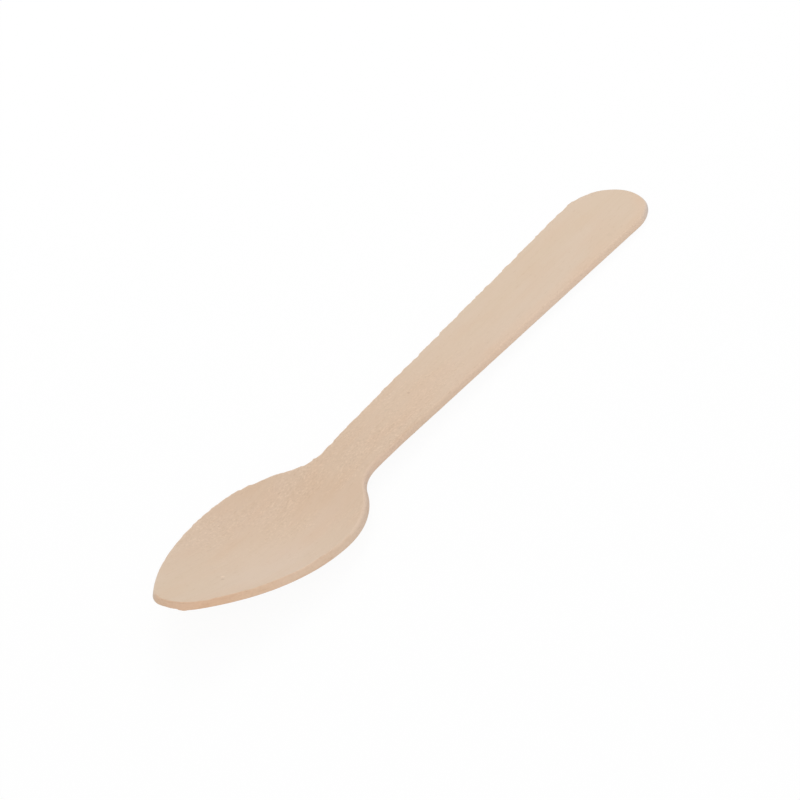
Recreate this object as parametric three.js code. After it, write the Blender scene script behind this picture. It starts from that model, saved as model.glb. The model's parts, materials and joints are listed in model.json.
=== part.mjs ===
// Disposable birch teaspoon: one strip of veneer, die-cut to its outline and hot-pressed into a shallow bowl.
// Millimetres, +Z up. The spoon lies on a table, on the bottom of its bowl and on the end of its handle, with
// +X from the tip of the bowl to the end of the handle.

import * as THREE from "three";
import { mergeVertices } from "three/addons/utils/BufferGeometryUtils.js";

// Sizes of the flat blank, with places along it measured from the tip of the bowl
const LENGTH = 110;
const VENEER = 1.2;
const EDGE_ROUND = 0.4;
const TIP_RADIUS = 4.4;
const BOWL_WIDTH = 21;
const BOWL_WIDEST_AT = 22.7;
const NECK_AT = 39.2; // where the neck's fillets run into the sides of the handle
const NECK_WIDTH = 8.2;
const NECK_FILLET = 7;
const HANDLE_END_WIDTH = 12.2; // where the round end begins
const ROUND_END_LENGTH = 6.6;

// Sizes of the press, which leaves the handle flat beyond its edge
const PRESS_EDGE_AT = 46;
const NECK_BEND = THREE.MathUtils.degToRad(2.75); // the bowl dips from the handle by this much
const NECK_BEND_LENGTH = 7.5;
const RIM_CURL_RADIUS = 127; // the rim of the bowl, seen from the side
const BOWL_CROSS_RADIUS = 27; // the bowl, cut across
const DISH_RUN_OUT = 16; // from the edge of the press to the full curve of the bowl

// Facets
const CURVE_STEP = 0.9;
const HANDLE_STEP = 8;
const ROUND_STEPS = 2; // round each edge of the cut
const COLUMNS = 10; // across the upper and lower face
const SLOPE_STEP = 0.05; // either side of a point, to measure the slope there

// One half of the outline, from the tip to the end of the handle: tangent arcs round the bowl and into the
// neck, a straight tapered side, and an elliptical end
function halfOutline() {
  const bowlHalf = BOWL_WIDTH / 2;
  const neckHalf = NECK_WIDTH / 2;
  const endHalf = HANDLE_END_WIDTH / 2;
  const endAt = LENGTH - ROUND_END_LENGTH;
  const taper = Math.atan2(endHalf - neckHalf, endAt - NECK_AT);

  const tipToWidest = BOWL_WIDEST_AT - TIP_RADIUS;
  const flank = (tipToWidest ** 2 + bowlHalf ** 2 - TIP_RADIUS ** 2) / (2 * (bowlHalf - TIP_RADIUS));
  const tipTurn = Math.atan2(flank - bowlHalf, -tipToWidest);

  const filletX = NECK_AT - NECK_FILLET * Math.sin(taper);
  const filletY = neckHalf + NECK_FILLET * Math.cos(taper);
  const widestToFillet = filletX - BOWL_WIDEST_AT;
  const filletRise = filletY - bowlHalf;
  const shoulder =
    (widestToFillet ** 2 + filletRise ** 2 - NECK_FILLET ** 2) / (2 * (NECK_FILLET - filletRise));
  const neckTurn = Math.atan2(filletRise + shoulder, widestToFillet);

  const pressedHalf = neckHalf + (PRESS_EDGE_AT - NECK_AT) * Math.tan(taper);
  return new THREE.Path()
    .absarc(TIP_RADIUS, 0, TIP_RADIUS, Math.PI, tipTurn, true)
    .absarc(BOWL_WIDEST_AT, bowlHalf - flank, flank, tipTurn, Math.PI / 2, true)
    .absarc(BOWL_WIDEST_AT, bowlHalf - shoulder, shoulder, Math.PI / 2, neckTurn, true)
    .absarc(filletX, filletY, NECK_FILLET, neckTurn + Math.PI, 1.5 * Math.PI + taper, false)
    .lineTo(PRESS_EDGE_AT, pressedHalf)
    .lineTo(endAt, endHalf)
    .absellipse(endAt, 0, ROUND_END_LENGTH, endHalf, Math.PI / 2, 0, true);
}

// Points along the half outline, each with the direction that faces outwards there
function outlineStations() {
  const stations = [];
  for (const curve of halfOutline().curves) {
    const flat = curve.isLineCurve && curve.v2.x > PRESS_EDGE_AT;
    const steps = Math.ceil(curve.getLength() / (flat ? HANDLE_STEP : CURVE_STEP));
    for (let i = stations.length ? 1 : 0; i <= steps; i++) {
      const along = curve.getTangent(i / steps);
      stations.push({ at: curve.getPoint(i / steps), out: new THREE.Vector2(-along.y, along.x) });
    }
  }
  const tip = stations[0];
  const end = stations.at(-1);
  tip.at.y = 0;
  tip.out.set(-1, 0);
  end.at.y = 0;
  end.out.set(1, 0);
  return stations;
}

const stations = outlineStations();

function squaredHalfWidth(x) {
  const next = stations.findIndex(({ at }) => at.x > x);
  if (next < 1) return 0;
  const before = stations[next - 1].at;
  const after = stations[next].at;
  return THREE.MathUtils.mapLinear(x, before.x, after.x, before.y ** 2, after.y ** 2);
}

// The rim seen from the side: level along the handle, dipping at the neck and curling up to the tip
function rimHeight(x) {
  const run = Math.max(PRESS_EDGE_AT - x, 0);
  const dip = Math.tan(NECK_BEND);
  if (run < NECK_BEND_LENGTH) return (-dip * run ** 2) / (2 * NECK_BEND_LENGTH);
  const pastBend = run - NECK_BEND_LENGTH;
  return -dip * (pastBend + NECK_BEND_LENGTH / 2) + pastBend ** 2 / (2 * RIM_CURL_RADIUS);
}

function crossCurvature(x) {
  return THREE.MathUtils.smoothstep(PRESS_EDGE_AT - x, 0, DISH_RUN_OUT) / BOWL_CROSS_RADIUS;
}

// Middle of the veneer: the rim's height, less the depth of the dish
function pressedHeight(x, y) {
  return rimHeight(x) - (crossCurvature(x) * (squaredHalfWidth(x) - y ** 2)) / 2;
}

// Where the press takes a point of the blank that lies above its middle by lift
function pressed(x, y, lift) {
  const rise = pressedHeight(x + SLOPE_STEP, y) - pressedHeight(x - SLOPE_STEP, y);
  const normal = new THREE.Vector3(-rise / (2 * SLOPE_STEP), -crossCurvature(x) * y, 1).normalize();
  return new THREE.Vector3(x, y, pressedHeight(x, y)).addScaledVector(normal, lift);
}

// The cut edge from the upper to the lower face, as inset from the outline and height above the middle
function edgeProfile() {
  const roundAt = VENEER / 2 - EDGE_ROUND;
  return new THREE.Path()
    .absarc(EDGE_ROUND, roundAt, EDGE_ROUND, Math.PI / 2, Math.PI, false)
    .absarc(EDGE_ROUND, -roundAt, EDGE_ROUND, Math.PI, 1.5 * Math.PI, false)
    .getPoints(ROUND_STEPS);
}

function insetPoint({ at, out }, inset) {
  return at.clone().addScaledVector(out, -inset);
}

// A skin of triangles between neighbouring rows of points, without those that shrink to a line
function skin(rows) {
  const corners = [];
  const triangle = (a, b, c) => {
    if (!a.equals(b) && !b.equals(c) && !c.equals(a)) corners.push(a, b, c);
  };
  for (let i = 0; i + 1 < rows.length; i++) {
    for (let j = 0; j + 1 < rows[i].length; j++) {
      triangle(rows[i][j], rows[i][j + 1], rows[i + 1][j + 1]);
      triangle(rows[i][j], rows[i + 1][j + 1], rows[i + 1][j]);
    }
  }
  return corners;
}

// The upper face for a side of 1 and the lower face for a side of -1, in rows that cross the spoon
function faceRows(side) {
  return stations.map((station) => {
    const { x, y } = insetPoint(station, EDGE_ROUND);
    return Array.from({ length: COLUMNS + 1 }, (_, column) =>
      pressed(x, side * y * (1 - (2 * column) / COLUMNS), (side * VENEER) / 2),
    );
  });
}

// The cut edge all round, in rows that follow the outline
function edgeRows() {
  const mirrored = stations.map(({ at, out }) => ({
    at: new THREE.Vector2(at.x, -at.y),
    out: new THREE.Vector2(out.x, -out.y),
  }));
  const loop = [...stations, ...mirrored.reverse()];
  return edgeProfile().map(({ x: inset, y: lift }) =>
    loop.map((station) => {
      const { x, y } = insetPoint(station, inset);
      return pressed(x, y, lift);
    }),
  );
}

function spoonGeometry() {
  const corners = [...skin(faceRows(1)), ...skin(faceRows(-1)), ...skin(edgeRows())];
  const geometry = mergeVertices(new THREE.BufferGeometry().setFromPoints(corners));
  geometry.computeVertexNormals();
  return geometry;
}

// Tilt at which the bottom of the bowl and the end of the handle are level
function restingTilt(geometry) {
  const heel = pressed(LENGTH - EDGE_ROUND, 0, -VENEER / 2);
  const points = geometry.getAttribute("position");
  const point = new THREE.Vector3();
  let tilt = -Math.PI / 2;
  for (let i = 0; i < points.count; i++) {
    point.fromBufferAttribute(points, i);
    if (point.x < PRESS_EDGE_AT) tilt = Math.max(tilt, Math.atan2(heel.z - point.z, heel.x - point.x));
  }
  return tilt;
}

function teaspoon() {
  const birch = new THREE.MeshStandardMaterial({ color: 0xd9c1ab, roughness: 0.75, metalness: 0 });
  const mesh = new THREE.Mesh(spoonGeometry(), birch);
  mesh.name = "teaspoon";
  mesh.rotation.y = restingTilt(mesh.geometry);
  const box = new THREE.Box3().setFromObject(mesh, true);
  const middle = box.getCenter(new THREE.Vector3());
  mesh.position.set(-middle.x, -middle.y, -box.min.z);
  return mesh;
}

export default new THREE.Group().add(teaspoon());
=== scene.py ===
"""Disposable birch teaspoon: the veneer's cut edges, fibres and colour, on a pale studio floor."""

import json
import math

import bpy
import numpy as np
from mathutils import Matrix, Vector, noise


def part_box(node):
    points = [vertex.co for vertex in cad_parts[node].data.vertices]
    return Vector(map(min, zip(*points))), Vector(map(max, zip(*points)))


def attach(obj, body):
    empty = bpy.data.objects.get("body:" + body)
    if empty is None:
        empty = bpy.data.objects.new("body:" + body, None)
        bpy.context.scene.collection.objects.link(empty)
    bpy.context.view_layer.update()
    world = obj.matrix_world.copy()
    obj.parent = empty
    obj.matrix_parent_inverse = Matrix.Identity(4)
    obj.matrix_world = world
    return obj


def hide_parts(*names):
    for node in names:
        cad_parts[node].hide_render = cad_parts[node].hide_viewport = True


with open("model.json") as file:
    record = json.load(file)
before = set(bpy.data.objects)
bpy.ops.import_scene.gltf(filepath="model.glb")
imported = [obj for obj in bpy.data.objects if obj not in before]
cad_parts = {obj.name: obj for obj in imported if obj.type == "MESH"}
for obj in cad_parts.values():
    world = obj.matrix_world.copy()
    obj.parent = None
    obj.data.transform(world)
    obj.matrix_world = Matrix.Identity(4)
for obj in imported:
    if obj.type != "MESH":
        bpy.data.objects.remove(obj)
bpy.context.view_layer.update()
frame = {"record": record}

MM = 0.001

# Sizes of the flat blank in millimetres, with places along it measured from the tip of the bowl
LENGTH = 110
VENEER = 1.2
TIP_RADIUS = 4.4
BOWL_WIDTH = 21
BOWL_WIDEST_AT = 22.7
NECK_AT = 39.2
NECK_WIDTH = 8.2
NECK_FILLET = 7
HANDLE_END_WIDTH = 12.2
ROUND_END_LENGTH = 6.6

# Sizes of the press, which leaves the handle flat beyond its edge
PRESS_EDGE_AT = 46
NECK_BEND = math.radians(2.75)
NECK_BEND_LENGTH = 7.5
RIM_CURL_RADIUS = 127
BOWL_CROSS_RADIUS = 27
DISH_RUN_OUT = 16
SLOPE_STEP = 0.05

# Fineness of the mesh
ROW_STEP = 0.36
END_STEP = 0.28
COLUMNS = 92
ROUND_STEPS = 6
WALL_STEPS = 4

# Roundings of the cut edge, as their reach inwards and down the cut
SHARP_ROUND = (0.25, 0.25)

# Worn rounding of the near upper arris, and the places along the blank between which the wear sets in
WORN_ROUND = (0.45, 0.7)
WORN_FROM = (16, 28)

# Wear and tear of the cutting, in millimetres
FAR_FRAY = 0.12
NEAR_FRAY = 0.03
TEAR_FREE_TIP = (12, 20)
CALM_NECK_AT = 40
CALM_NECK_LENGTH = 5
CALM_NECK_SHARE = 0.6
NOTCH_AT = 68.5
NOTCH_LENGTH = 2.4
NOTCH_DEPTH = 0.26
SPLINTER_AT = 37.2
SPLINTER_LENGTH = 0.16
SPLINTER_WIDTH = 0.2
THIN_TIP = (9, 16)
TIP_THINNING = 0.12
ARRIS_CRUSH = 0.18
WALL_ROUGHNESS = 0.02
FIBRE_RELIEF = 0.012
CHIP_DEPTH = 0.22
CHIP_REACH = 0.8
CHIP_NEAR_FADE = (-1.65, -1.3)
CHIP_FAR_FADE = (3.2, -0.2)
CHIP_LIP = 0.1
CHIP_LIP_AT = -2.1
CHIP_LIP_LENGTH = 0.35

# Tears along the far side, which recur at about this spacing with steps up to this size
TEARS = ((3.6, 0.2), (1.4, 0.1))

# Where the cut strays from its line: side of the spoon, place along the blank, length, and height outwards
SWELLS = (
    (1, 24, 3.5, 0.06),
    (1, 36, 3.5, -0.06),
    (1, 98, 4.5, 0.07),
    (-1, 5.5, 3, -0.06),
    (-1, 23, 3.5, -0.07),
    (-1, 108.3, 1.3, 0.3),
)

# Wood, and the tints that are multiplied into it
BIRCH = ((0.676, 0.528, 0.395, 1), (0.684, 0.538, 0.413, 1))
TOAST = (0.993, 0.953, 0.933)
# Painted shade: the neck evenly darker
NECK_SHADE = (0.984, 0.984, 0.984)
BLUSH = (1.0, 0.98, 0.965)
STREAK = (0.978, 0.97, 0.955)
PALE_FLECK = (1.11, 1.115, 1.12)
DIMPLE = (0.92, 0.91, 0.9)
PORE = (0.95, 0.93, 0.9)
# Painted light: the whole cut edge lifted paler, standing in for light on its walls
CUT_PAINTED_LIGHT = (1.05, 1.05, 1.06)
STAIN = (0.965, 0.94, 0.92)
# Painted light: the cut lifted further along the handle and round the neck
HANDLE_CUT_PAINTED_LIGHT = (1.045, 1.035, 1.035)
NECK_CUT_PAINTED_LIGHT = (1.035, 1.03, 1.05)
TIP_CUT = (1.035, 0.915, 0.81)
TIP_TOAST = (0.99, 0.95, 0.92)
TIP_GRAIN = (0.93, 0.97, 1.04)
SHOULDER_GRAIN = (0.88, 0.92, 1.0)
END_GRAIN = (0.74, 0.97, 1.32)
# Wear and a painted highlight on the near upper arris
WORN_ARRIS_HIGHLIGHT = (1.06, 1.06, 1.065)
# Painted shade along the lower arris of the handle
LOWER_ARRIS_SHADE = (0.9, 0.905, 0.92)
WARM_RIM = (1.015, 0.99, 0.975)

# Marks on the upper face: place along and across the blank, outer and inner radius, and tint
DARK_SPECK = (0.86, 0.83, 0.81)
PALE_SPECK = (1.15, 1.15, 1.16)
COOL_PATCH = (1.012, 1.018, 1.038)
GREY_SPOT = (0.96, 0.965, 0.965)
MARKS = (
    (9.7, -0.85, 0.32, 0.14, DARK_SPECK),
    (10.4, -0.3, 0.36, 0.15, PALE_SPECK),
    (54.4, 0.7, 0.27, 0.1, DARK_SPECK),
    (47.1, -1.5, 0.55, 0.15, GREY_SPOT),
    (49.8, 1.2, 0.55, 0.15, GREY_SPOT),
    (98.4, -4.1, 0.55, 0.15, GREY_SPOT),
    (15, -4, 9.5, 4, COOL_PATCH),
)

# Camera
CAMERA_AZIMUTH = math.radians(-49.933)
CAMERA_ELEVATION = math.radians(33.223)
CAMERA_ROLL = math.radians(-11.893)
CAMERA_DISTANCE = 0.5
CAMERA_AIM = Vector((0.00065, 0.00343, 0))
CAMERA_LENS = 168.67

# Studio, with each lamp's place, size and power
WORLD_STRENGTH = 0.69
FLOOR_HALF = 1.5
FLOOR_WHITE = (0.95, 0.95, 0.95, 1)
FLOOR_GLOW = 0.94
BACK_WINDOW = (Vector((0.3, 0.22, 0.36)), 0.3, 0.85)
FRONT_SCREEN = (Vector((-0.55, -0.42, 0.42)), 0.5, 1.3)


# Shape of the blank

def arc(centre, radii, start, stop, step):
    """Points along an arc or a quarter ellipse, each with the direction that faces outwards there."""
    turn = np.linspace(start, stop, math.ceil(abs(stop - start) * max(radii) / step) + 1)
    round_points = np.column_stack((np.cos(turn), np.sin(turn)))
    out = round_points / radii
    return centre + round_points * radii, out / np.linalg.norm(out, axis=1, keepdims=True)


def line(start, stop, step):
    """Points along a straight side, each with the direction that faces outwards there."""
    start, stop = np.array(start), np.array(stop)
    along = stop - start
    steps = math.ceil(np.linalg.norm(along) / step)
    out = np.array((-along[1], along[0])) / np.linalg.norm(along)
    return start + np.outer(np.linspace(0, 1, steps + 1), along), np.tile(out, (steps + 1, 1))


def half_outline():
    """One half of the outline, from the tip to the end of the handle: points and outward directions."""
    bowl_half = BOWL_WIDTH / 2
    neck_half = NECK_WIDTH / 2
    end_half = HANDLE_END_WIDTH / 2
    end_at = LENGTH - ROUND_END_LENGTH
    taper = math.atan2(end_half - neck_half, end_at - NECK_AT)

    tip_run = BOWL_WIDEST_AT - TIP_RADIUS
    flank = (tip_run**2 + bowl_half**2 - TIP_RADIUS**2) / (2 * (bowl_half - TIP_RADIUS))
    tip_turn = math.atan2(flank - bowl_half, -tip_run)

    fillet = (NECK_AT - NECK_FILLET * math.sin(taper), neck_half + NECK_FILLET * math.cos(taper))
    fillet_run = fillet[0] - BOWL_WIDEST_AT
    rise = fillet[1] - bowl_half
    shoulder = (fillet_run**2 + rise**2 - NECK_FILLET**2) / (2 * (NECK_FILLET - rise))
    neck_turn = math.atan2(rise + shoulder, fillet_run)

    def round_arc(centre, radius, start, stop, step):
        return arc(centre, (radius, radius), start, stop, step)

    fillet_points, fillet_out = round_arc(
        fillet, NECK_FILLET, neck_turn + math.pi, 1.5 * math.pi + taper, ROW_STEP
    )
    runs = [
        round_arc((TIP_RADIUS, 0), TIP_RADIUS, math.pi, tip_turn, END_STEP),
        round_arc((BOWL_WIDEST_AT, bowl_half - flank), flank, tip_turn, math.pi / 2, ROW_STEP),
        round_arc((BOWL_WIDEST_AT, bowl_half - shoulder), shoulder, math.pi / 2, neck_turn, ROW_STEP),
        (fillet_points, -fillet_out),
        line(fillet_points[-1], (end_at, end_half), ROW_STEP),
        arc((end_at, 0), (ROUND_END_LENGTH, end_half), math.pi / 2, 0, END_STEP),
    ]
    points = np.vstack([runs[0][0][:1]] + [run[0][1:] for run in runs])
    out = np.vstack([runs[0][1][:1]] + [run[1][1:] for run in runs])
    points[[0, -1], 1] = 0
    out[0] = (-1, 0)
    out[-1] = (1, 0)
    return points, out


OUTLINE, OUTWARD = half_outline()


# Shape of the press

def smooth_step(values, low, high):
    share = np.clip((values - low) / (high - low), 0, 1)
    return share**2 * (3 - 2 * share)


def rim_height(x):
    """The rim seen from the side: level along the handle, dipping at the neck and curling up to the tip."""
    run = np.maximum(PRESS_EDGE_AT - x, 0)
    past_bend = run - NECK_BEND_LENGTH
    dip = math.tan(NECK_BEND)
    bend = -dip * run**2 / (2 * NECK_BEND_LENGTH)
    bowl = -dip * (past_bend + NECK_BEND_LENGTH / 2) + past_bend**2 / (2 * RIM_CURL_RADIUS)
    return np.where(past_bend < 0, bend, bowl)


def cross_curvature(x):
    return smooth_step(PRESS_EDGE_AT - x, 0, DISH_RUN_OUT) / BOWL_CROSS_RADIUS


def pressed_height(x, y):
    """Middle of the veneer: the rim's height, less the depth of the dish."""
    squared_half_width = np.interp(x, OUTLINE[:, 0], OUTLINE[:, 1] ** 2, left=0, right=0)
    return rim_height(x) - cross_curvature(x) * (squared_half_width - y**2) / 2


def pressed(blank):
    """Where the press takes points of the blank, given as (along, across, above its middle)."""
    x, y, lift = blank.T
    rise = pressed_height(x + SLOPE_STEP, y) - pressed_height(x - SLOPE_STEP, y)
    normal = np.column_stack((-rise / (2 * SLOPE_STEP), -cross_curvature(x) * y, np.ones_like(x)))
    normal /= np.linalg.norm(normal, axis=1, keepdims=True)
    return np.column_stack((x, y, pressed_height(x, y))) + lift[:, None] * normal


def tilted(points):
    """Pressed points in metres, tilted until the bowl and the end of the handle rest on the table."""
    axis = frame["record"]["mounts"][0]["axis"]
    tilt = Matrix.Rotation(math.atan2(axis[0], axis[2]), 3, "Y")
    return points @ np.array(tilt).T * MM


def seat(clean):
    """Move that lays the clean tilted veneer where the solid lies in the frame."""
    low, high = (np.array(corner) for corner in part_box("teaspoon"))
    move = (low + high - clean.min(axis=0) - clean.max(axis=0)) / 2
    move[2] = low[2] - clean[:, 2].min()
    return move


# Wear and tear

def rough(points, *wavelengths):
    """Smooth noise of up to about 1 either way at each point, with its wavelength along each axis."""
    return np.array([noise.noise(Vector(point)) for point in points / np.array(wavelengths)])


def torn_steps(x):
    """Where the cut tears it follows the fibres, then steps out to the outline again."""
    chance = np.random.default_rng(12)
    steps = np.zeros_like(x)
    for spacing, size in TEARS:
        count = math.ceil(2 * LENGTH / spacing)
        tears = np.cumsum(chance.uniform(0.5, 1.5, count)) * spacing - 2 * spacing
        sizes = chance.uniform(0.3, 1, count) * size
        before = np.searchsorted(tears, x, side="right") - 1
        share = (x - tears[before]) / (tears[before + 1] - tears[before])
        steps += sizes[before] * np.where(OUTWARD[:, 0] < 0, 0.6 - share, share - 0.4)
    return steps


def fray(side):
    """How far the cut wanders outwards at each station, on the far side for 1 and the near side for -1."""
    x = OUTLINE[:, 0]
    along = np.column_stack((x, np.full(len(x), 7.3 * side), np.zeros(len(x))))
    wander = 0.4 * rough(along, 6.5, 1, 1) + 0.4 * rough(along, 1.3, 1, 1)
    swell = sum(
        height * np.exp(-(((x - at) / length) ** 2))
        for where, at, length, height in SWELLS
        if where == side
    )
    if side < 0:
        return (wander * NEAR_FRAY + swell) * np.abs(OUTWARD[:, 1])
    calm = 1 - CALM_NECK_SHARE * np.exp(-(((x - CALM_NECK_AT) / CALM_NECK_LENGTH) ** 2))
    torn = (torn_steps(x) + wander * FAR_FRAY) * smooth_step(x, *TEAR_FREE_TIP) * calm
    notch = np.clip(1 - (NOTCH_AT - x) / NOTCH_LENGTH, 0, 1) ** 2 * (x < NOTCH_AT) * NOTCH_DEPTH
    splinter = SPLINTER_LENGTH * np.exp(-(((x - SPLINTER_AT) / SPLINTER_WIDTH) ** 2))
    return (torn + swell - notch) * np.abs(OUTWARD[:, 1]) + splinter


def frayed(grid, across):
    """The same grid with the wander of the cut on both sides."""
    moved = grid.copy()
    moved[..., 1] += np.outer(fray(1), np.maximum(across, 0)) + np.outer(fray(-1), np.minimum(across, 0))
    return moved


def chipped(points):
    """The same points with the lower edge broken away round the tip, up to a small lip on the near side."""
    x, y, lift = points.T
    depth_in = TIP_RADIUS - np.hypot(x - TIP_RADIUS, y)
    spread = smooth_step(y, *CHIP_NEAR_FADE) * smooth_step(y, *CHIP_FAR_FADE)
    ragged = 1 + 0.25 * rough(points * (0, 1, 0) + (0, 0, 0.4), 1, 0.7, 1)
    near_edge = np.clip(1 - depth_in / CHIP_REACH, 0, 1) * (x < TIP_RADIUS)
    floor = -VENEER / 2 + CHIP_DEPTH * spread * ragged * near_edge
    lip_shape = np.exp(-(((y - CHIP_LIP_AT) / CHIP_LIP_LENGTH) ** 2))
    lip = CHIP_LIP * lip_shape * near_edge * (lift < 0)
    return np.column_stack((x, y, np.maximum(lift, floor) - lip))


def weathered(points, depth, cut):
    """The same points with a thin tip, a crushed upper arris, fibrous faces and a rippled cut."""
    x, y, lift = points.T
    upper = np.clip(lift / VENEER + 0.5, 0, 1)
    flat = points * (1, 1, 0) + (0, 0, 0.3)
    crush = np.maximum(0.7 * rough(flat, 2.6, 2.6, 1) + 0.6 * rough(flat, 1.1, 1.1, 1), 0)
    arris = np.clip(1.2 - depth / 0.6, 0, 1) * np.maximum(2 * upper - 1, 0)
    fibres = 0.7 * rough(points, 7, 0.45, 3) + 0.6 * rough(points, 16, 1.6, 3)
    ripples = 0.6 * rough(points, 0.8, 0.8, 0.5) + 0.5 * rough(points, 2.2, 2.2, 0.25)
    moved = chipped(points)
    moved[:, 2] -= TIP_THINNING * (1 - smooth_step(x, *THIN_TIP)) * upper
    moved[:, 2] -= ARRIS_CRUSH * crush * arris
    moved[:, 2] += np.sign(lift) * (1 - cut) * FIBRE_RELIEF * fibres
    moved[:, 1] += np.sign(np.round(y, 6)) * cut * WALL_ROUGHNESS * ripples
    return moved


# Mesh of the veneer

def edge_profile(upper_round):
    """The cut from the upper to the lower face: insets from the outline, heights and shares of the cut."""
    turn = np.linspace(0, math.pi / 2, ROUND_STEPS + 1)
    upper_lift = VENEER / 2 - upper_round[1] * (1 - np.cos(turn))
    lower_lift = SHARP_ROUND[1] * (1 - np.cos(turn[::-1])) - VENEER / 2
    wall = np.linspace(upper_lift[-1], lower_lift[0], WALL_STEPS + 1)[1:-1]
    inward = 1 - np.sin(turn)
    inset = np.concatenate((upper_round[0] * inward, wall * 0, SHARP_ROUND[0] * inward[::-1]))
    cut = np.concatenate((np.sin(turn), wall * 0 + 1, np.sin(turn[::-1])))
    return inset, np.concatenate((upper_lift, wall, lower_lift)), cut


def blank_grid():
    """The clean blank, in one ring for each station: places, half-width shares, depths and cut shares.

    A ring runs over the upper face, down the edge at -Y, back under the lower face and up the edge at +Y.
    """
    far_inset, far_lift, edge_cut = edge_profile(SHARP_ROUND)
    worn_inset, worn_lift, _ = edge_profile(WORN_ROUND)
    wear = smooth_step(OUTLINE[:, :1], *WORN_FROM) * OUTWARD[:, 1:]
    near_inset = far_inset + wear * (worn_inset - far_inset)
    near_lift = far_lift + wear * (worn_lift - far_lift)

    columns = np.linspace(1, -1, COLUMNS + 1)
    edge = np.ones(len(edge_cut) - 2)
    across = np.concatenate((columns, -edge, -columns, edge))
    near_share = (1 - columns) / 2
    rows = np.ones_like(wear)
    inset = np.hstack((
        far_inset[0] * (1 - near_share) + near_inset[:, :1] * near_share,
        near_inset[:, 1:-1],
        rows * far_inset[-1] * np.ones_like(columns),
        rows * far_inset[-2:0:-1],
    ))
    face_lift = rows * np.full_like(columns, VENEER / 2)
    lift = np.hstack((face_lift, near_lift[:, 1:-1], -face_lift, rows * far_lift[-2:0:-1]))
    cut = np.concatenate((columns * 0, edge_cut[1:-1], columns * 0, edge_cut[-2:0:-1]))

    x = OUTLINE[:, :1] - OUTWARD[:, :1] * inset
    y = across * (OUTLINE[:, 1:] - OUTWARD[:, 1:] * inset)
    depth = inset + OUTLINE[:, 1:] * OUTWARD[:, 1:] * (1 - np.abs(across))
    return np.stack((x, y, lift), axis=-1), across, depth, rows * cut


def skin(rings, around):
    """Triangles between neighbouring rings."""
    first, turn = np.meshgrid(np.arange(rings - 1) * around, np.arange(around), indexing="ij")
    following = (turn + 1) % around
    a, b = first + turn, first + following
    c, d = b + around, a + around
    halves = np.stack((np.stack((a, b, c), axis=-1), np.stack((a, c, d), axis=-1)), axis=-2)
    return halves.reshape(-1, 3)


def attribute(mesh, name, kind, values):
    layer = mesh.attributes.new(name, kind, "POINT")
    field = "vector" if kind == "FLOAT_VECTOR" else "value"
    layer.data.foreach_set(field, np.ravel(values).astype(np.float32))


def veneer():
    """The spoon as one closed skin, with its place on the flat blank kept for the wood's figure."""
    grid, across, depth, cut = blank_grid()
    end_grain = np.ravel(cut * np.abs(OUTWARD[:, :1]))
    depth = np.ravel(depth)
    cut = np.ravel(cut)
    move = seat(tilted(pressed(grid.reshape(-1, 3))))
    blank = weathered(frayed(grid, across).reshape(-1, 3), depth, cut)
    corners = tilted(pressed(blank)) + move

    _, first, merged = np.unique(np.round(corners / 1e-7), axis=0, return_index=True, return_inverse=True)
    triangles = merged.reshape(-1)[skin(*grid.shape[:2])]
    a, b, c = triangles.T
    triangles = triangles[(a != b) & (b != c) & (c != a)]

    mesh = bpy.data.meshes.new("birch_veneer")
    mesh.from_pydata(corners[first].tolist(), [], triangles.tolist())
    mesh.polygons.foreach_set("use_smooth", [True] * len(mesh.polygons))
    attribute(mesh, "blank", "FLOAT_VECTOR", blank[first])
    attribute(mesh, "depth", "FLOAT", depth[first])
    attribute(mesh, "cut", "FLOAT", cut[first])
    attribute(mesh, "end_grain", "FLOAT", end_grain[first])
    piece = bpy.data.objects.new("birch_veneer", mesh)
    bpy.context.scene.collection.objects.link(piece)
    return piece


# Wood

def add(tree, kind, inputs=None, **settings):
    """A shader node with its settings, and with its inputs set or linked."""
    made = tree.nodes.new(kind)
    for name, value in settings.items():
        setattr(made, name, value)
    for socket, value in (inputs or {}).items():
        if isinstance(value, bpy.types.NodeSocket):
            tree.links.new(value, made.inputs[socket])
        else:
            made.inputs[socket].default_value = value
    return made


def vector_math(tree, operation, first, second):
    made = add(tree, "ShaderNodeVectorMath", {0: first, 1: second}, operation=operation)
    return made.outputs["Value" if operation in ("DOT_PRODUCT", "DISTANCE") else "Vector"]


def joined(tree, operation, first, second):
    return add(tree, "ShaderNodeMath", {0: first, 1: second}, operation=operation).outputs[0]


def times(tree, first, *others):
    for other in others:
        first = joined(tree, "MULTIPLY", first, other)
    return first


def band(tree, value, low, high):
    """0 at low and 1 at high, with a smooth change between."""
    inputs = {"Value": value, "From Min": low, "From Max": high}
    return add(tree, "ShaderNodeMapRange", inputs, interpolation_type="SMOOTHSTEP").outputs[0]


def stretched_noise(tree, place, scale, detail, seed):
    """Noise with its own number of waves for each millimetre along, across and through the blank."""
    shifted = vector_math(tree, "ADD", vector_math(tree, "MULTIPLY", place, scale), (seed, seed, seed))
    inputs = {"Vector": shifted, "Scale": 1.0, "Detail": detail, "Roughness": 0.55}
    return add(tree, "ShaderNodeTexNoise", inputs).outputs["Fac"]


def tinted(tree, colour, tint, amount):
    """The colour multiplied by a tint, by an amount."""
    inputs = {0: amount, 6: colour, 7: (*tint, 1)}
    return add(tree, "ShaderNodeMix", inputs, data_type="RGBA", blend_type="MULTIPLY").outputs[2]


def kept(tree, name, output):
    return add(tree, "ShaderNodeAttribute", attribute_name=name).outputs[output]


def cut_edge(tree):
    """1 on the cut edge of the veneer, 0 on its faces."""
    return band(tree, kept(tree, "cut", "Fac"), 0.1, 0.8)


def press_heat(tree, place):
    """How far the press has browned the wood: most round the neck, none at the tip or the handle's end."""
    slant = vector_math(tree, "DOT_PRODUCT", place, (1, 0.8, 0))
    return times(tree, band(tree, slant, 6, 32), band(tree, slant, 84, 40))


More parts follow.
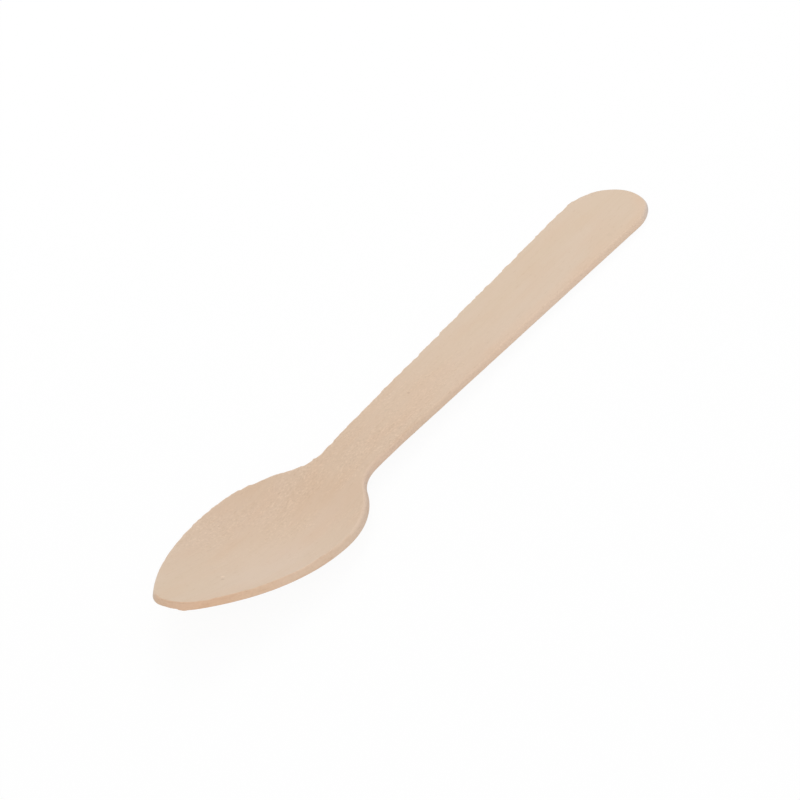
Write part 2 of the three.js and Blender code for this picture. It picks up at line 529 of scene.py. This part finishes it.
def surface_relief(tree, place):
    """Streaks of fibres, open pores, raised flecks and the dimples between them."""
    streaks = stretched_noise(tree, place, (0.14, 3.2, 3.2), 4, 1.9)
    pore_place = vector_math(tree, "MULTIPLY", place, (0.42, 3.1, 3.1))
    pores = add(tree, "ShaderNodeTexVoronoi", {"Vector": pore_place, "Scale": 1.0}).outputs["Distance"]
    flecks = stretched_noise(tree, place, (2.6, 3.8, 3.8), 2, 5.3)
    patches = stretched_noise(tree, place, (0.1, 0.2, 0.2), 2, 6.1)
    pressed_part = times(tree, press_heat(tree, place), band(tree, patches, 0.3, 0.6))
    flecked_part = joined(tree, "MAXIMUM", pressed_part, times(tree, cut_edge(tree), 0.3))
    scratches = stretched_noise(tree, place, (0.8, 5, 5), 2, 9.2)
    pale = joined(tree, "MAXIMUM", band(tree, flecks, 0.54, 0.66), band(tree, scratches, 0.6, 0.7))
    fleck = times(tree, pale, flecked_part)
    dimple = times(tree, band(tree, flecks, 0.44, 0.32), flecked_part)
    return streaks, band(tree, pores, 0.2, 0.08), fleck, dimple


def face_colour(tree, place):
    """Broad figure of the wood, browned by the press, with painted shade at the neck, and blushed here and
    there.
    """
    figure = stretched_noise(tree, place, (0.03, 0.22, 0.3), 3, 3.1)
    blush = stretched_noise(tree, place, (0.09, 0.28, 0.3), 3, 8.7)
    along = add(tree, "ShaderNodeSeparateXYZ", {0: place}).outputs["X"]
    inputs = {0: band(tree, figure, 0.3, 0.7), 6: BIRCH[0], 7: BIRCH[1]}
    colour = add(tree, "ShaderNodeMix", inputs, data_type="RGBA").outputs[2]
    colour = tinted(tree, colour, TOAST, press_heat(tree, place))
    # Painted shade darkening the neck
    neck = times(tree, band(tree, along, 34, 39), band(tree, along, 52, 43))
    colour = tinted(tree, colour, NECK_SHADE, neck)
    colour = tinted(tree, colour, BLUSH, band(tree, blush, 0.42, 0.68))
    for x, y, outer, inner, tint in MARKS:
        gap = vector_math(tree, "DISTANCE", place, (x, y, VENEER / 2))
        colour = tinted(tree, colour, tint, band(tree, gap, outer, inner))
    return colour


def edge_colour(tree, colour, place):
    """The cut edge: made paler than the faces as painted light on its walls, toasted towards the tip, with
    grey end grain, worn arrises that carry a painted highlight, and painted shade along the handle's lower
    arris.
    """
    split = add(tree, "ShaderNodeSeparateXYZ", {0: place})
    along, across, lift = (split.outputs[axis] for axis in "XYZ")
    cut = cut_edge(tree)
    share = kept(tree, "cut", "Fac")
    arris = times(tree, band(tree, share, 0.92, 0.5), band(tree, share, 0.02, 0.25))
    rim = times(tree, band(tree, kept(tree, "depth", "Fac"), 2.4, 0.8), band(tree, across, 0, -2))
    end_grain = kept(tree, "end_grain", "Fac")
    stains = stretched_noise(tree, place, (0.5, 0.5, 2.5), 3, 4.4)
    for tint, *amounts in (
        # Painted light on the cut walls, most along the handle and at the neck
        (CUT_PAINTED_LIGHT, cut),
        (STAIN, cut, band(tree, stains, 0.48, 0.66), band(tree, along, 60, 30)),
        (HANDLE_CUT_PAINTED_LIGHT, cut, band(tree, along, 34, 80)),
        (NECK_CUT_PAINTED_LIGHT, cut, band(tree, along, 33, 37), band(tree, along, 50, 42)),
        (TIP_CUT, cut, band(tree, along, 30, 2), band(tree, across, 3.5, 1.5)),
        (TIP_TOAST, cut, band(tree, along, 9, 4), band(tree, across, 0.6, -0.8)),
        (TIP_GRAIN, end_grain, band(tree, along, 20, 6)),
        (SHOULDER_GRAIN, end_grain, band(tree, along, 22, 27), band(tree, along, 45, 38)),
        (END_GRAIN, end_grain, band(tree, along, 60, 90)),
        # Worn near upper arris, partly a painted highlight
        (WORN_ARRIS_HIGHLIGHT, arris, band(tree, lift, -0.1, 0.15), band(tree, along, 20, 27)),
        # Painted shade on the handle's lower arris, where it lies near the floor
        (LOWER_ARRIS_SHADE, arris, band(tree, lift, -0.3, -0.45), band(tree, along, 62, 80)),
        (WARM_RIM, rim, band(tree, along, 55, 75)),
    ):
        colour = tinted(tree, colour, tint, times(tree, *amounts))
    return colour


def birch():
    """Bare sanded birch veneer."""
    material = bpy.data.materials.new("birch_wood")
    material.use_nodes = True
    tree = material.node_tree
    surface = tree.nodes["Principled BSDF"]
    place = kept(tree, "blank", "Vector")
    streaks, pore, fleck, dimple = surface_relief(tree, place)

    colour = face_colour(tree, place)
    for tint, amount in (
        (STREAK, band(tree, streaks, 0.5, 0.75)),
        (PALE_FLECK, fleck),
        (DIMPLE, dimple),
        (PORE, pore),
    ):
        colour = tinted(tree, colour, tint, amount)
    tree.links.new(edge_colour(tree, colour, place), surface.inputs["Base Color"])

    sheen = add(tree, "ShaderNodeMapRange", {"Value": streaks, "To Min": 0.62, "To Max": 0.8}).outputs[0]
    tree.links.new(sheen, surface.inputs["Roughness"])
    surface.inputs["Specular IOR Level"].default_value = 0.3

    grain = stretched_noise(tree, place, (2.2, 7, 7), 3, 2.7)
    raised = joined(tree, "ADD", joined(tree, "ADD", streaks, grain), fleck)
    relief = joined(tree, "SUBTRACT", raised, pore)
    bump = add(tree, "ShaderNodeBump", {"Strength": 0.5, "Distance": 0.03 * MM, "Height": relief})
    tree.links.new(bump.outputs["Normal"], surface.inputs["Normal"])
    return material


# Studio

def seen_directly(tree):
    """1 for what is seen straight, in a mirror or through glass, 0 for light that falls on things."""
    path = add(tree, "ShaderNodeLightPath")
    mirrored = joined(tree, "MAXIMUM", path.outputs["Is Glossy Ray"], path.outputs["Is Transmission Ray"])
    return joined(tree, "MAXIMUM", path.outputs["Is Camera Ray"], mirrored)


def studio_world():
    world = bpy.data.worlds.new("studio")
    world.use_nodes = True
    tree = world.node_tree
    lit = tree.nodes["Background"]
    lit.inputs["Color"].default_value = (1, 1, 1, 1)
    lit.inputs["Strength"].default_value = WORLD_STRENGTH
    shown = add(tree, "ShaderNodeBackground", {"Color": (1, 1, 1, 1), "Strength": 1.0})
    mix = add(tree, "ShaderNodeMixShader", {0: seen_directly(tree), 1: lit.outputs[0], 2: shown.outputs[0]})
    tree.links.new(mix.outputs[0], tree.nodes["World Output"].inputs["Surface"])
    bpy.context.scene.world = world


def white_paper():
    """Matt white floor that glows where the camera sees it, so that only a faint shadow shows."""
    material = bpy.data.materials.new("white_paper")
    material.use_nodes = True
    tree = material.node_tree
    tree.nodes.remove(tree.nodes["Principled BSDF"])
    matt = add(tree, "ShaderNodeBsdfDiffuse", {"Color": FLOOR_WHITE})
    glow = add(tree, "ShaderNodeEmission", {"Color": (1, 1, 1, 1), "Strength": 1.0})
    amount = times(tree, seen_directly(tree), FLOOR_GLOW)
    mix = add(tree, "ShaderNodeMixShader", {0: amount, 1: matt.outputs[0], 2: glow.outputs[0]})
    tree.links.new(mix.outputs[0], tree.nodes["Material Output"].inputs["Surface"])
    return material


def studio_floor():
    corners = [(x * FLOOR_HALF, y * FLOOR_HALF, 0) for x, y in ((-1, -1), (1, -1), (1, 1), (-1, 1))]
    mesh = bpy.data.meshes.new("studio_floor")
    mesh.from_pydata(corners, [], [(0, 1, 2, 3)])
    mesh.materials.append(white_paper())
    floor = bpy.data.objects.new("studio_floor", mesh)
    bpy.context.scene.collection.objects.link(floor)


def soft_lamp(name, place, size, power):
    lamp = bpy.data.lights.new(name, "AREA")
    lamp.shape = "DISK"
    lamp.size = size
    lamp.energy = power
    holder = bpy.data.objects.new(name, lamp)
    holder.matrix_world = Matrix.Translation(place) @ place.to_track_quat("Z", "Y").to_matrix().to_4x4()
    bpy.context.scene.collection.objects.link(holder)


def photo_camera():
    data = bpy.data.cameras.new("camera")
    data.lens = CAMERA_LENS
    data.sensor_width = 36
    data.clip_start = 0.01
    data.clip_end = 10
    back = Vector((
        math.sin(CAMERA_AZIMUTH) * math.cos(CAMERA_ELEVATION),
        -math.cos(CAMERA_AZIMUTH) * math.cos(CAMERA_ELEVATION),
        math.sin(CAMERA_ELEVATION),
    ))
    level = Vector((math.cos(CAMERA_AZIMUTH), math.sin(CAMERA_AZIMUTH), 0))
    upright = back.cross(level)
    right = level * math.cos(CAMERA_ROLL) + upright * math.sin(CAMERA_ROLL)
    axes = Matrix((right, back.cross(right), back)).transposed().to_4x4()
    camera = bpy.data.objects.new("camera", data)
    camera.matrix_world = Matrix.Translation(CAMERA_AIM + back * CAMERA_DISTANCE) @ axes
    bpy.context.scene.collection.objects.link(camera)
    bpy.context.scene.camera = camera


spoon = veneer()
spoon.data.materials.append(birch())
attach(spoon, "root")
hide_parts("teaspoon")

studio_world()
studio_floor()
soft_lamp("back_window", *BACK_WINDOW)
soft_lamp("front_screen", *FRONT_SCREEN)
photo_camera()
bpy.context.scene.view_settings.view_transform = "Standard"
